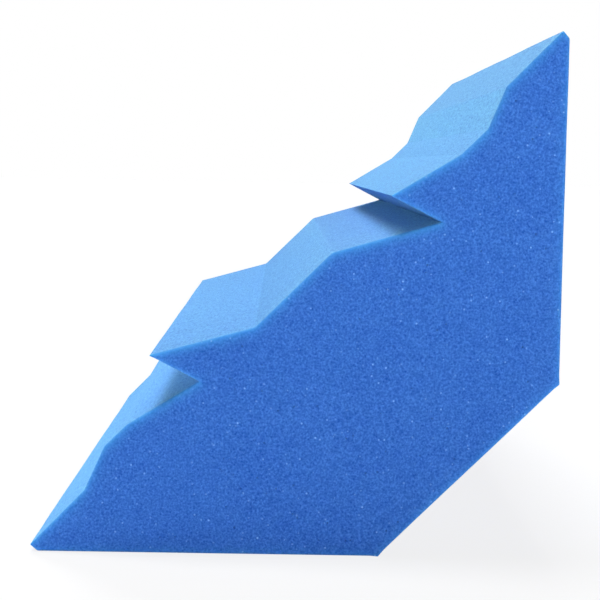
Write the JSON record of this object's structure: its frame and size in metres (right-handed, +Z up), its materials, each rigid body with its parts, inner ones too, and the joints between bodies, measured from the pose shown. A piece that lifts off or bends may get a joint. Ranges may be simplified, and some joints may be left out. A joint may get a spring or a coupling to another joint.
{
  "type": "corner bass trap",
  "caption": "Foam corner bass trap: right-angled prism with a waved, undercut front and a 45 degree cut that clears the room's corner.",
  "frame": {"origin": "on the ground under the middle of the block's box, with the block lying on its base leg", "axes": "+Y runs along the block's length, +X points out of the wall leg, +Z is up along the wall leg"},
  "size_m": [0.2998, 0.6, 0.2997],
  "materials": {
    "acoustic_foam": "matte"
  },
  "bodies": {
    "root": {"foam_block": "acoustic_foam"}
  },
  "joints": []
}
